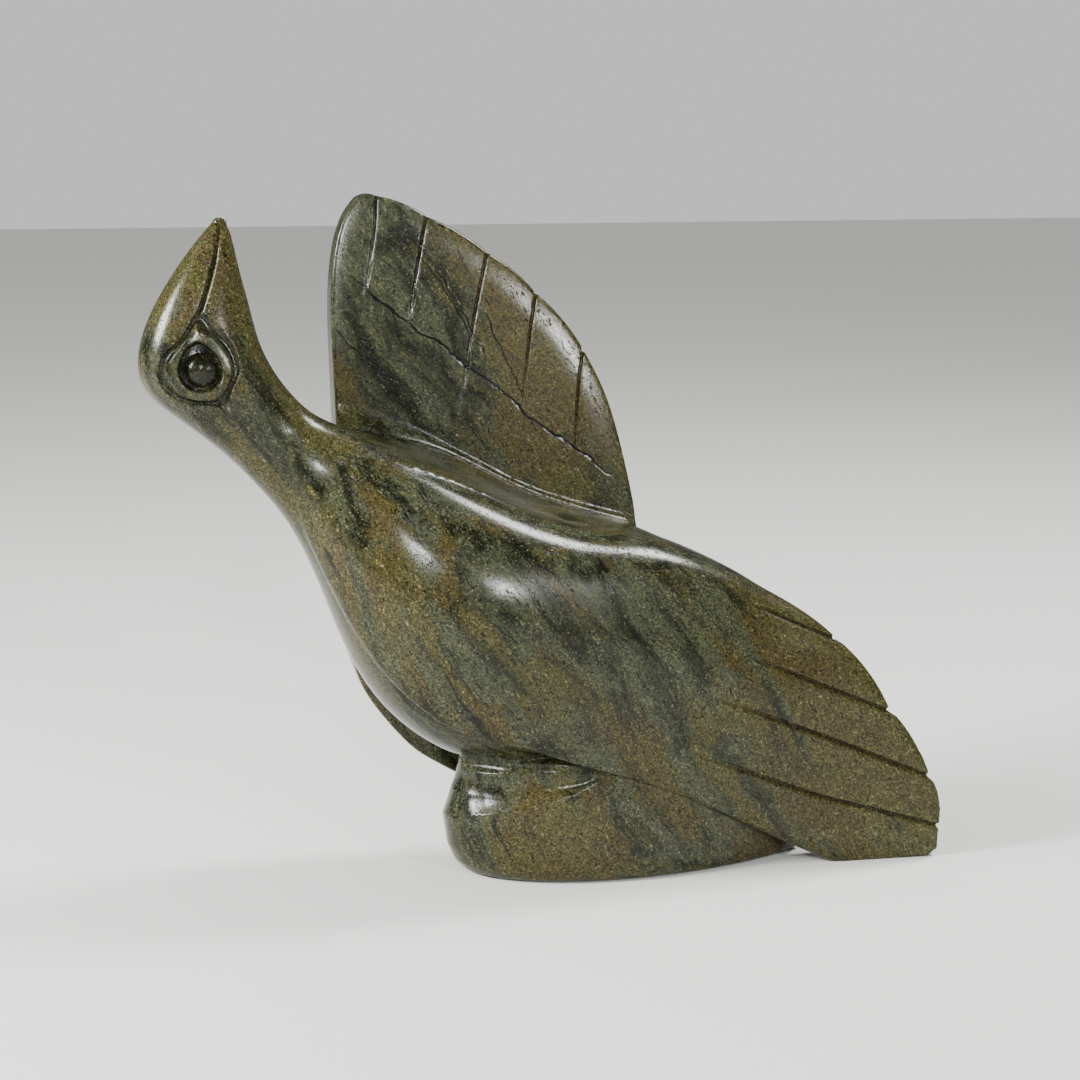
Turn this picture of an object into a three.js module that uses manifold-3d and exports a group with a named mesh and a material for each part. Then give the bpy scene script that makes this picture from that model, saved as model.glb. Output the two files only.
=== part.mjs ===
// Serpentine bird, carved in one with its base.
// Millimetres, +Z up. The beak is at -X and the tail at +X. The folded wing lies on the -Y side
// and the raised wing stands on the +Y side. The bird rests on the flat under its base and on the
// lower edge of the folded wing. The origin is on the ground, under the middle of the bird.

import * as THREE from 'three';
import { mergeVertices } from 'three/addons/utils/BufferGeometryUtils.js';
import Module from 'manifold-3d';

const wasm = await Module();
wasm.setup();

// Trunk from the beak to the tail. Each station is a slanted section of the stone: the point on its
// lower contour, the point on its upper contour, half its width, where its middle lies across the
// bird, and how square its upper half is (2 is an ellipse).
const STATIONS = [
  { low: [-161.8, 320], high: [-155.4, 321], half: 2.4, mid: 0, square: 2 },
  { low: [-172, 308], high: [-153, 312], half: 7.5, mid: 0, square: 2 },
  { low: [-184, 291], high: [-150, 298], half: 13, mid: 0, square: 2.1 },
  { low: [-194, 272], high: [-146, 282], half: 18, mid: 0, square: 2.2 },
  { low: [-198, 254], high: [-142, 266], half: 21.5, mid: 0, square: 2.3 },
  { low: [-193.5, 240], high: [-137, 254], half: 22.5, mid: 0, square: 2.3 },
  { low: [-180, 228], high: [-130, 243], half: 20.5, mid: 0, square: 2.2 },
  { low: [-161, 213], high: [-120, 232], half: 18, mid: 0, square: 2.1 },
  { low: [-145, 197], high: [-109, 225], half: 18.5, mid: 0, square: 2.1 },
  { low: [-127.5, 174], high: [-93, 218], half: 24, mid: 0, square: 2.3 },
  { low: [-112.5, 141], high: [-70, 207], half: 36, mid: 0, square: 2.5 },
  { low: [-98.5, 107], high: [-42, 193.5], half: 46.5, mid: 0, square: 2.7 },
  { low: [-78, 79], high: [-13, 180.5], half: 51.2, mid: 0, square: 2.8 },
  { low: [-47, 59], high: [16, 171], half: 49.8, mid: 0, square: 2.9 },
  { low: [-8, 50], high: [45, 166], half: 44.5, mid: -1, square: 2.8 },
  { low: [34, 42], high: [76, 154], half: 37, mid: -3, square: 2.7 },
  { low: [72, 30], high: [105, 137], half: 28, mid: -6, square: 2.6 },
  { low: [102, 18], high: [129, 114], half: 19.5, mid: -10, square: 2.5 },
  { low: [127, 9], high: [149, 88], half: 13, mid: -14, square: 2.6 },
  { low: [149, 6], high: [166, 63], half: 9, mid: -17, square: 2.8 },
  { low: [167, 7], high: [178, 42], half: 6, mid: -18, square: 3 },
];
const BELLY_SQUARE = 2.2;
const TRUNK_RINGS = 62;
const TRUNK_SIDES = 32;

// Folded wing: a layer that stands a little proud of the flank and runs out as the tail blade.
const LAYER = 2.6;
const LAYER_START = 8.3;
const LAYER_FULL = 10.2;
const SKIRT_START = 11;
const SKIRT_FULL = 13.5;
const BLADE_START = 15.5;
const BLADE_FULL = 18.5;
const BLADE_SPREAD = 14;
const BLADE_HALF = 8.5;
const BLADE_MID = -18;
const BLADE_SQUARE = 4.5;
const BLADE_INNER_Y = -9;
const LAYER_RINGS = 40;
const LEADING_EDGE = [
  [118, 9], [87, 25], [46, 45], [4, 61], [-21, 71], [-51, 81], [-68, 90],
  [-85, 105], [-103, 131], [-118, 163], [-125, 182],
];
const BLADE_TOP = [98, 145];
const FEATHER_TIPS = [[139.5, 113], [166, 77], [187.5, 42], [193, 17]];
const FEATHER_BULGE = 2.6;
const BLADE_CORNER = [[192.5, 4], [187, 0], [137, 0]];

// Raised wing: a leaf of stone that grows out of the far flank and leans away from the bird.
const FAR_LOW_EDGE = [[-42, 40], [-57, 49], [-69, 59], [-85, 79], [-94, 99], [-99, 128], [-101, 165], [-101, 205]];
const FAR_FRONT_EDGE = [[-101.5, 240], [-102, 272], [-100, 299], [-95, 317.5], [-88, 328]];
const FAR_TIPS = [[-77, 329], [-52, 318.5], [-23, 301], [1, 281], [24, 254]];
const FAR_TIP_BULGE = 1.6;
const FAR_REAR_EDGE = [[36, 229], [44, 200], [49, 175], [50, 158]];
const FAR_FLANK_EDGE = [[48, 128], [34, 92], [8, 62], [-22, 44]];
const FAR_OUTER_Y = 53;
const FAR_LEAN = 0.06;
const FAR_LEAN_FROM = 180;
const FAR_RIM_THICK = 12;
const FAR_ROOT_THICK = 24;
const FAR_ROOT_FADE = 150;
const FAR_ROOT_LINE = [[-50.4, 206], [49, 166]];
const FAR_FOOT_Y = 42;
const FAR_FOOT_Z = 40;
const FAR_FOOT_FROM = 110;

// Ledge along the root of the raised wing: a ramp up to the crease where the wing starts, and the
// lip that its rear end stands out with.
const LEDGE_CREASE = [[-94, 218.3], [-82, 215.2], [-50.4, 206], [-14.5, 188], [11, 177.7], [30, 171.6], [49, 166]];
const LEDGE_CREASE_Y = 29;
const LEDGE_TILT = Math.tan(THREE.MathUtils.degToRad(16));
const LEDGE_FROM_Y = -14;
const LEDGE_TO_Y = 46;
const LEDGE_THICK = 24;
const LIP = [
  { at: [-12, 8, 178], wide: 8, tall: 3 },
  { at: [8, 10, 170.8], wide: 12, tall: 4.6 },
  { at: [28, 12, 164.6], wide: 15, tall: 5.4 },
  { at: [42, 14, 160.8], wide: 15, tall: 5.4 },
  { at: [51, 19, 159.8], wide: 8, tall: 3 },
];

// Base: a rounded lump under the belly, boat-shaped in plan, hollowed on both sides under its rim.
const BASE_REAR = 131;
const BASE_HALF = 40;
const BASE_BLUNT = 0.5;
const BASE_TAPER = 0.8;
const BASE_LEVELS = [
  { z: 0, front: -41, inset: 6 }, { z: 1.8, front: -45.5, inset: 2.6 }, { z: 6, front: -49.5, inset: 0.8 },
  { z: 14, front: -53, inset: 0 }, { z: 28, front: -55, inset: 0 }, { z: 42, front: -53, inset: 1 },
  { z: 52, front: -49.5, inset: 2 }, { z: 59, front: -46, inset: 4 }, { z: 66, front: -38, inset: 13 },
];
const BASE_SIDES = 44;
const SCOOP = { at: [-14, -43, 49.5], size: [37, 13, 8.5], turn: -0.1 };
const FLUTE_ROUTE = [[-60, 2, 68], [-47, -20, 66.5], [-24, -34, 66], [4, -39, 63], [30, -42, 56]];
const FLUTE_RADIUS = 5.5;

// Feather grooves, mouth and eyes.
const FOLDED_GROOVES = [
  [[84, 137], [108, 127], [141, 111.5]],
  [[72, 117], [98, 106], [134, 90], [169, 75]],
  [[64, 94], [98, 80], [145, 60], [192, 40]],
  [[48, 68], [78, 57], [120, 39], [157, 27], [198, 14.5]],
];
const RAISED_GROOVES = [
  [[-78, 334], [-80, 311], [-86, 278]],
  [[-52, 324], [-58, 299], [-64, 264]],
  [[-22, 306], [-31, 270], [-39, 226]],
  [[2, 286], [-4, 254], [-9, 210]],
  [[26, 260], [20.5, 228], [19, 186]],
];
const GROOVE_RADIUS = 2.2;
const GROOVE_DEPTH = 1.7;
const GROOVE_STEPS = 9;
const MOUTH = [[-156, 326], [-158, 313], [-162, 299], [-167, 285], [-170, 277]];
const MOUTH_RADIUS = 2.4;
const MOUTH_DEPTH = 2;
const EYE = [-170, 253];
const EYE_BALL = 8.8;
const EYE_BALL_SHOWS = 5;
const EYE_SOCKET = 12.8;
const EYE_SOCKET_DEPTH = 3;
const LID_CHANNEL = [
  [-171, 276], [-182, 267], [-187, 254], [-182, 241.5], [-170, 236.5], [-158, 229.5],
  [-154, 243], [-153, 256], [-160, 268],
];
const LID_RADIUS = 2;
const LID_DEPTH = 1.5;

// The shortest edge that the finished skin keeps, and how far a face may turn as edges are welded.
const WELD_EDGE = 0.8;
const WELD_TURN = 0.8;
const WELD_PASSES = 3;

const STONE = new THREE.MeshStandardMaterial({ color: 0x565438, roughness: 0.28, metalness: 0 });

const lerp = THREE.MathUtils.lerp;
const smooth = THREE.MathUtils.smoothstep;

function curveOf(points) {
  return new THREE.CatmullRomCurve3(points, false, 'catmullrom', 0.5);
}

function signedPower(value, power) {
  return Math.sign(value) * Math.abs(value) ** power;
}

// Closed geometry through rings of equal counts, with a fan over each end, or bent into a loop.
function skin(rings, looped = false) {
  const sides = rings[0].length;
  const points = rings.flat();
  const faces = [];
  for (let r = 0; r < rings.length - (looped ? 0 : 1); r += 1) {
    for (let i = 0; i < sides; i += 1) {
      const a = r * sides + i;
      const b = r * sides + (i + 1) % sides;
      const c = ((r + 1) % rings.length) * sides + (i + 1) % sides;
      const d = ((r + 1) % rings.length) * sides + i;
      faces.push(a, b, c, a, c, d);
    }
  }
  for (const [first, turned] of looped ? [] : [[0, true], [(rings.length - 1) * sides, false]]) {
    const middle = new THREE.Vector3();
    for (let i = 0; i < sides; i += 1) middle.addScaledVector(points[first + i], 1 / sides);
    points.push(middle);
    for (let i = 0; i < sides; i += 1) {
      const a = first + i;
      const b = first + (i + 1) % sides;
      faces.push(points.length - 1, turned ? b : a, turned ? a : b);
    }
  }
  const geometry = new THREE.BufferGeometry().setFromPoints(points);
  geometry.setIndex(faces);
  return geometry;
}

function signedVolume(points, faces) {
  const corner = (k) => new THREE.Vector3().fromArray(points, 3 * faces[k]);
  let total = 0;
  for (let k = 0; k < faces.length; k += 3) {
    total += corner(k).dot(corner(k + 1).cross(corner(k + 2))) / 6;
  }
  return total;
}

// Closed solid for joining and cutting, with its faces turned outwards.
function solidOf(geometry) {
  geometry.deleteAttribute('normal');
  geometry.deleteAttribute('uv');
  const merged = mergeVertices(geometry, 1e-4);
  const points = new Float32Array(merged.attributes.position.array);
  const faces = new Uint32Array(merged.index.array);
  if (signedVolume(points, faces) < 0) faces.reverse();
  return new wasm.Manifold(new wasm.Mesh({ numProp: 3, vertProperties: points, triVerts: faces }));
}

function geometryOf(solid) {
  const mesh = solid.getMesh();
  const geometry = new THREE.BufferGeometry();
  geometry.setAttribute('position', new THREE.BufferAttribute(new Float32Array(mesh.vertProperties), 3));
  geometry.setIndex(new THREE.BufferAttribute(new Uint32Array(mesh.triVerts), 1));
  return geometry;
}

function cornersOf(points, face) {
  return face.map((v) => new THREE.Vector3().fromArray(points, 3 * v));
}

function facing(points, face) {
  const [a, b, c] = cornersOf(points, face);
  return b.sub(a).cross(c.sub(a));
}

// Draws the two ends of every very short edge together, where the skin stays closed and no face
// turns over. The joins leave such edges where two surfaces cross at a shallow angle.
function weldShortEdges(geometry) {
  const points = geometry.attributes.position.array;
  const faces = [];
  for (let k = 0; k < geometry.index.count; k += 3) {
    faces.push([...geometry.index.array.slice(k, k + 3)]);
  }
  const around = Array.from({ length: points.length / 3 }, () => new Set());
  faces.forEach((face, k) => face.forEach((v) => around[v].add(k)));
  const neighbours = (v) => new Set([...around[v]].flatMap((k) => faces[k]).filter((w) => w !== v));
  const tryWeld = (keep, drop) => {
    const shared = [...neighbours(keep)].filter((w) => neighbours(drop).has(w));
    if (shared.length !== 2) return false;
    const moved = [...around[drop]].filter((k) => !faces[k].includes(keep));
    for (const k of moved) {
      const turned = faces[k].map((v) => (v === drop ? keep : v));
      const before = facing(points, faces[k]).normalize();
      if (before.dot(facing(points, turned).normalize()) < WELD_TURN) return false;
    }
    for (const k of around[drop]) {
      if (moved.includes(k)) {
        faces[k] = faces[k].map((v) => (v === drop ? keep : v));
        around[keep].add(k);
      } else {
        faces[k].forEach((v) => v !== drop && around[v].delete(k));
        faces[k] = null;
      }
    }
    around[drop].clear();
    return true;
  };
  for (let pass = 0; pass < WELD_PASSES; pass += 1) {
    for (let k = 0; k < faces.length; k += 1) {
      for (let j = 0; j < 3 && faces[k]; j += 1) {
        const keep = faces[k][j];
        const drop = faces[k][(j + 1) % 3];
        const [a, b] = cornersOf(points, [keep, drop]);
        if (a.distanceTo(b) < WELD_EDGE && !tryWeld(keep, drop)) tryWeld(drop, keep);
      }
    }
  }
  const welded = new THREE.BufferGeometry();
  welded.setAttribute('position', geometry.attributes.position);
  welded.setIndex(faces.filter(Boolean).flat());
  return welded;
}

// Prism over an outline drawn in the XZ plane, between two Y values.
function prism(shape, fromY, toY, divisions) {
  const geometry = new THREE.ExtrudeGeometry(shape, { depth: toY - fromY, bevelEnabled: false, curveSegments: divisions });
  geometry.rotateX(Math.PI / 2);
  geometry.translate(0, toY, 0);
  return solidOf(geometry);
}

const keel = curveOf(STATIONS.map((s) => new THREE.Vector3(s.low[0], 0, s.low[1])));
const back = curveOf(STATIONS.map((s) => new THREE.Vector3(s.high[0], 0, s.high[1])));
const girth = curveOf(STATIONS.map((s) => new THREE.Vector3(s.half, s.mid, s.square)));

// One slanted ring of the trunk. grow(u) gives how far it stands out at height u, from -1 to 1.
function trunkRing(station, sides, change = (size) => size, grow = () => 0) {
  const t = station / (STATIONS.length - 1);
  const low = keel.getPoint(t);
  const high = back.getPoint(t);
  const [half, mid, square] = girth.getPoint(t).toArray();
  const size = change({ half, mid, square, below: BELLY_SQUARE, drop: 0, rise: 0 });
  const upward = high.clone().sub(low).normalize();
  low.addScaledVector(upward, -size.drop);
  high.addScaledVector(upward, size.rise);
  const centre = low.clone().add(high).multiplyScalar(0.5);
  const reach = low.distanceTo(high) / 2;
  const ring = [];
  for (let i = 0; i < sides; i += 1) {
    const angle = (2 * Math.PI * i) / sides;
    const power = 2 / (Math.sin(angle) > 0 ? size.square : size.below);
    const u = signedPower(Math.sin(angle), power);
    const v = signedPower(Math.cos(angle), power);
    const out = grow(u);
    const point = centre.clone().addScaledVector(upward, u * (reach + out));
    point.y = size.mid + v * (size.half + out);
    ring.push(point);
  }
  return ring;
}

function trunk() {
  const rings = [];
  for (let r = 0; r < TRUNK_RINGS; r += 1) {
    rings.push(trunkRing(((STATIONS.length - 1) * r) / (TRUNK_RINGS - 1), TRUNK_SIDES));
  }
  return solidOf(skin(rings));
}

function foldedWingOutline() {
  const shape = new THREE.Shape();
  shape.moveTo(-125, 240);
  shape.lineTo(60, 200);
  shape.lineTo(...BLADE_TOP);
  let from = BLADE_TOP;
  for (const tip of FEATHER_TIPS) {
    const across = new THREE.Vector2(tip[1] - from[1], from[0] - tip[0]).normalize().multiplyScalar(-2 * FEATHER_BULGE);
    shape.quadraticCurveTo((from[0] + tip[0]) / 2 + across.x, (from[1] + tip[1]) / 2 + across.y, ...tip);
    from = tip;
  }
  for (const corner of BLADE_CORNER) shape.lineTo(...corner);
  shape.splineThru(LEADING_EDGE.map((p) => new THREE.Vector2(...p)));
  shape.closePath();
  return shape;
}

function foldedWing() {
  const rings = [];
  const last = STATIONS.length - 1;
  for (let r = 0; r < LAYER_RINGS; r += 1) {
    const station = lerp(LAYER_START, last, r / (LAYER_RINGS - 1));
    const shown = smooth(station, LAYER_START, LAYER_FULL);
    const skirt = smooth(station, SKIRT_START, SKIRT_FULL);
    const blade = smooth(station, BLADE_START, BLADE_FULL);
    const change = (size) => ({
      half: lerp(size.half, BLADE_HALF, smooth(station, BLADE_FULL - 1, BLADE_FULL + 1)),
      mid: lerp(size.mid, BLADE_MID, smooth(station, BLADE_FULL - 1, BLADE_FULL + 1)),
      square: lerp(size.square, BLADE_SQUARE, blade),
      below: lerp(size.below, BLADE_SQUARE, skirt),
      drop: skirt * BLADE_SPREAD,
      rise: blade * BLADE_SPREAD,
    });
    const grow = (u) => lerp(lerp(LAYER * shown, -0.4, smooth(u, 0.25, 0.8)), LAYER, blade);
    rings.push(trunkRing(station, TRUNK_SIDES, change, grow));
  }
  const end = rings[rings.length - 1];
  rings.push(end.map((p) => p.clone().add(new THREE.Vector3(30, 0, -12))));
  const layer = solidOf(skin(rings));
  return layer.intersect(prism(foldedWingOutline(), -80, BLADE_INNER_Y, 4));
}

function raisedWingOutline() {
  const shape = new THREE.Shape();
  shape.moveTo(...FAR_LOW_EDGE[0]);
  const front = [...FAR_LOW_EDGE.slice(1), ...FAR_FRONT_EDGE];
  shape.splineThru(front.map((p) => new THREE.Vector2(...p)));
  let from = front[front.length - 1];
  for (const tip of FAR_TIPS) {
    const across = new THREE.Vector2(tip[1] - from[1], from[0] - tip[0]).normalize().multiplyScalar(-2 * FAR_TIP_BULGE);
    shape.quadraticCurveTo((from[0] + tip[0]) / 2 + across.x, (from[1] + tip[1]) / 2 + across.y, ...tip);
    from = tip;
  }
  shape.splineThru([...FAR_REAR_EDGE, ...FAR_FLANK_EDGE].map((p) => new THREE.Vector2(...p)));
  shape.closePath();
  return shape;
}

// Distance from a point of the XZ plane to the line where the raised wing leaves the back.
function rootDistance(x, z) {
  const [from, to] = FAR_ROOT_LINE;
  const along = new THREE.Vector2(to[0] - from[0], to[1] - from[1]).normalize();
  return (z - from[1]) * along.x - (x - from[0]) * along.y;
}

function raisedWingFaces(x, z) {
  const lean = FAR_LEAN * Math.max(0, z - FAR_LEAN_FROM);
  const foot = smooth(FAR_FOOT_FROM - z, 0, FAR_FOOT_FROM - FAR_FOOT_Z);
  const outer = lerp(FAR_OUTER_Y + lean, FAR_FOOT_Y, foot);
  const root = 1 - THREE.MathUtils.clamp(rootDistance(x, z) / FAR_ROOT_FADE, 0, 1);
  const thick = lerp(FAR_RIM_THICK, FAR_ROOT_THICK, root * (1 - foot));
  return [outer - thick, outer];
}

function raisedWing() {
  const rings = [];
  const columns = 16;
  for (let z = 30; z <= 345; z += 15) {
    const front = [];
    const rear = [];
    for (let i = 0; i <= columns; i += 1) {
      const x = lerp(-120, 70, i / columns);
      const [inner, outer] = raisedWingFaces(x, z);
      front.push(new THREE.Vector3(x, inner, z));
      rear.unshift(new THREE.Vector3(x, outer, z));
    }
    rings.push([...front, ...rear]);
  }
  return solidOf(skin(rings)).intersect(prism(raisedWingOutline(), -10, 90, 3));
}

function ledge() {
  const crease = curveOf(LEDGE_CREASE.map(([x, z]) => new THREE.Vector3(x, 0, z)));
  const steps = 3 * (LEDGE_CREASE.length - 1);
  const rings = [];
  for (let r = 0; r <= steps; r += 1) {
    const { x, z } = crease.getPoint(r / steps);
    const front = z + (LEDGE_FROM_Y - LEDGE_CREASE_Y) * LEDGE_TILT;
    const rear = z + (LEDGE_TO_Y - LEDGE_CREASE_Y) * LEDGE_TILT;
    rings.push([
      new THREE.Vector3(x, LEDGE_FROM_Y, front),
      new THREE.Vector3(x, LEDGE_TO_Y, rear),
      new THREE.Vector3(x, LEDGE_TO_Y, rear - LEDGE_THICK),
      new THREE.Vector3(x, LEDGE_FROM_Y, front - LEDGE_THICK),
    ]);
  }
  return solidOf(skin(rings)).add(lip());
}

function lip() {
  const route = curveOf(LIP.map((s) => new THREE.Vector3(...s.at)));
  const sizes = curveOf(LIP.map((s) => new THREE.Vector3(s.wide, s.tall, 0)));
  const rings = [];
  for (let r = 0; r <= 12; r += 1) {
    const at = route.getPoint(r / 12);
    const size = sizes.getPoint(r / 12);
    const ring = [];
    for (let i = 0; i < 14; i += 1) {
      const angle = (2 * Math.PI * i) / 14;
      ring.push(at.clone().add(new THREE.Vector3(0, size.x * Math.cos(angle), size.y * Math.sin(angle))));
    }
    rings.push(ring);
  }
  return solidOf(skin(rings));
}

// Half width of the base in plan at a share of its length from the front.
function basePlan(share) {
  const widest = BASE_BLUNT / (BASE_BLUNT + BASE_TAPER);
  const peak = widest ** BASE_BLUNT * (1 - widest) ** BASE_TAPER;
  return (share ** BASE_BLUNT * (1 - share) ** BASE_TAPER) / peak;
}

function base() {
  const rings = BASE_LEVELS.map(({ z, front, inset }) => {
    const ring = [];
    for (let i = 0; i < BASE_SIDES; i += 1) {
      const angle = (2 * Math.PI * i) / BASE_SIDES;
      const share = (1 - Math.cos(angle)) / 2;
      const x = lerp(front, BASE_REAR - inset, share);
      const y = Math.sign(Math.sin(angle)) * basePlan(share) * (BASE_HALF - inset);
      ring.push(new THREE.Vector3(x, i % (BASE_SIDES / 2) === 0 ? 0 : y, z));
    }
    return ring;
  });
  return solidOf(skin(rings));
}

function ellipsoid({ at, size, turn }) {
  const geometry = new THREE.SphereGeometry(1, 20, 12);
  geometry.scale(...size);
  geometry.rotateY(turn);
  geometry.translate(...at);
  return solidOf(geometry);
}

// Bar of round or diamond section along a route, for cutting a groove.
function cutter(route, radius, steps, sides) {
  const rings = [];
  for (let r = 0; r <= steps - (route.closed ? 1 : 0); r += 1) {
    const at = route.getPoint(r / steps);
    const side = route.getTangent(r / steps).cross(new THREE.Vector3(0, 1, 0)).normalize();
    const ring = [];
    for (let i = 0; i < sides; i += 1) {
      const angle = (2 * Math.PI * i) / sides;
      const point = at.clone().addScaledVector(side, radius * Math.cos(angle));
      point.y += radius * Math.sin(angle);
      ring.push(point);
    }
    rings.push(ring);
  }
  return solidOf(skin(rings, route.closed));
}

// Y of the surface at a point of the XZ plane, seen from the folded wing's side.
function surfaceAt(mesh, x, z, missing) {
  const ray = new THREE.Raycaster(new THREE.Vector3(x, -200, z), new THREE.Vector3(0, 1, 0));
  const hits = ray.intersectObject(mesh);
  return hits.length > 0 ? hits[0].point.y : missing;
}

// Cutter for a groove that follows the surface and fades out at its start.
function grooveOn(mesh, points, radius, depth, missing, fade = true) {
  const flat = curveOf(points.map((p) => new THREE.Vector3(p[0], 0, p[1])));
  const route = [];
  let level = missing;
  for (let r = 0; r <= GROOVE_STEPS; r += 1) {
    const t = r / GROOVE_STEPS;
    const at = flat.getPoint(t);
    level = surfaceAt(mesh, at.x, at.z, level);
    const cut = fade ? depth * smooth(t, -0.05, 0.45) : depth;
    route.push(new THREE.Vector3(at.x, level - radius + cut, at.z));
  }
  return cutter(curveOf(route), radius, GROOVE_STEPS, 4);
}

function meshOf(solid) {
  return new THREE.Mesh(geometryOf(solid), new THREE.MeshBasicMaterial({ side: THREE.DoubleSide }));
}

function mirrored(solid) {
  const geometry = geometryOf(solid);
  geometry.scale(1, -1, 1);
  return solidOf(geometry);
}

function head(bird) {
  const face = meshOf(bird);
  const cheek = surfaceAt(face, EYE[0], EYE[1], 0);
  const mouth = grooveOn(face, MOUTH, MOUTH_RADIUS, MOUTH_DEPTH, 0, false);
  const lidRoute = LID_CHANNEL.map(([x, z]) => {
    const level = surfaceAt(face, x, z, cheek);
    return new THREE.Vector3(x, level - LID_RADIUS + LID_DEPTH, z);
  });
  const lid = cutter(new THREE.CatmullRomCurve3(lidRoute, true), LID_RADIUS, 3 * lidRoute.length, 4);
  const bowl = new THREE.SphereGeometry(EYE_SOCKET, 24, 12);
  bowl.scale(1, EYE_SOCKET_DEPTH / EYE_SOCKET, 1);
  bowl.translate(EYE[0], cheek, EYE[1]);
  const ball = new THREE.SphereGeometry(1, 20, 12);
  ball.scale(EYE_BALL, EYE_BALL_SHOWS, EYE_BALL);
  ball.translate(EYE[0], cheek + EYE_BALL_SHOWS - 0.6, EYE[1]);
  const cuts = [mouth, lid, solidOf(bowl)];
  const eye = solidOf(ball);
  let carved = bird;
  for (const cut of cuts) carved = carved.subtract(cut).subtract(mirrored(cut));
  return carved.add(eye).add(mirrored(eye));
}

function bird() {
  const flute = curveOf(FLUTE_ROUTE.map((p) => new THREE.Vector3(...p)));
  const hollow = cutter(flute, FLUTE_RADIUS, 10, 8);
  const scoop = ellipsoid(SCOOP);
  const lump = base().subtract(hollow).subtract(scoop).subtract(mirrored(scoop));
  const wing = foldedWing();
  const leaf = raisedWing();
  const wingFace = meshOf(wing);
  const leafFace = meshOf(leaf);
  let carved = trunk().add(lump).add(wing).add(leaf).add(ledge());
  for (const points of FOLDED_GROOVES) {
    carved = carved.subtract(grooveOn(wingFace, points, GROOVE_RADIUS, GROOVE_DEPTH, BLADE_MID - BLADE_HALF));
  }
  for (const points of RAISED_GROOVES) {
    const toRoot = [...points].reverse();
    carved = carved.subtract(grooveOn(leafFace, toRoot, GROOVE_RADIUS, GROOVE_DEPTH, FAR_OUTER_Y));
  }
  return head(carved);
}

const stone = mergeVertices(weldShortEdges(geometryOf(bird())), 1e-4);
stone.computeBoundingBox();
const middle = stone.boundingBox.getCenter(new THREE.Vector3());
stone.computeVertexNormals();

const piece = new THREE.Mesh(stone, STONE);
piece.name = 'bird';
piece.position.set(-middle.x, -middle.y, -stone.boundingBox.min.z);

const group = new THREE.Group();
group.add(piece);

export default group;
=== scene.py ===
import math

import bpy
import numpy as np
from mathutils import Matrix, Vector


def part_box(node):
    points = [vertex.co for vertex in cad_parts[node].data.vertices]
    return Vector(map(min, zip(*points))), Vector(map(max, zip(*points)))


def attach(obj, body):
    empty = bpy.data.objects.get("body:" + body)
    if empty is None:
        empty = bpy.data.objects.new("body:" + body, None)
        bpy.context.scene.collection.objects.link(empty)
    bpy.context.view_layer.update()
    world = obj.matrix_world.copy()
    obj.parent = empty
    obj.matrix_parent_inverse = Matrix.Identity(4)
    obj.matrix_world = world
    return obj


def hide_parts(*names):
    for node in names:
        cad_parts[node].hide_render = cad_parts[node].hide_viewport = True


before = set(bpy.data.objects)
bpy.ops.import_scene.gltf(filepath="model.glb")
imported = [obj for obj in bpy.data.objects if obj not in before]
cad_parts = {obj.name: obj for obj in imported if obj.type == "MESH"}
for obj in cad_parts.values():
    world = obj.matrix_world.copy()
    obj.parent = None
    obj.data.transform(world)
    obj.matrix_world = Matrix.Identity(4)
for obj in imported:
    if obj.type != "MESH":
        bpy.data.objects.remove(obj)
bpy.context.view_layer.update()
node_low, node_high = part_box("bird")

# The carving is worked out in millimetres in the carver's frame: +X from the beak to the tail, the
# folded wing at -Y, the raised wing at +Y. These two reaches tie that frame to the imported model.
THROAT_REACH_X = -198.0
RAISED_WING_REACH_Y = 62.0
CARVER_TO_FRAME = np.array([
    node_low.x * 1000 - THROAT_REACH_X,
    node_high.y * 1000 - RAISED_WING_REACH_Y,
    0.0,
])

# Trunk from the beak to the tail, as slanted sections: the point on the lower contour (x, z), the
# point on the upper contour (x, z), half width, where the middle lies across, squareness on top.
STATIONS = np.array([
    (-161.8, 320, -155.4, 318.8, 3.0, 0, 2.0),
    (-172, 308, -153, 312, 7.5, 0, 2.0),
    (-184, 291, -150, 298, 13, 0, 2.1),
    (-194, 272, -146, 282, 18, 0, 2.2),
    (-198, 254, -142, 266, 21.5, 0, 2.3),
    (-193.5, 240, -137, 254, 22.5, 0, 2.3),
    (-180, 228, -130, 243, 20.5, 0, 2.2),
    (-161, 213, -120, 232, 18, 0, 2.1),
    (-145, 197, -109, 225, 18.5, 0, 2.1),
    (-127.5, 174, -93, 218, 24, 0, 2.3),
    (-112.5, 141, -70, 207, 36, 0, 2.5),
    (-98.5, 107, -42, 193.5, 46.5, 0, 2.7),
    (-78, 79, -13, 180.5, 50.9, 0, 2.8),
    (-47, 59, 16, 171, 48.7, 0, 2.9),
    (-8, 50, 45, 166, 43, -1, 2.8),
    (34, 42, 76, 154, 35.8, -3, 2.7),
    (72, 30, 105, 137, 28, -6, 2.6),
    (102, 18, 129, 114, 19.5, -10, 2.5),
    (127, 9, 149, 88, 13, -14, 2.6),
    (149, 6, 166, 63, 9, -17, 2.8),
    (167, 7, 178, 42, 6, -18, 3.0),
])
LAST_STATION = len(STATIONS) - 1
FLANK_SQUARE = 2.05
BELLY_SQUARE = 2.2
BEAK_TIP_ROUND = 2.4
TAIL_END_ROUND = 3.0

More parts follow.
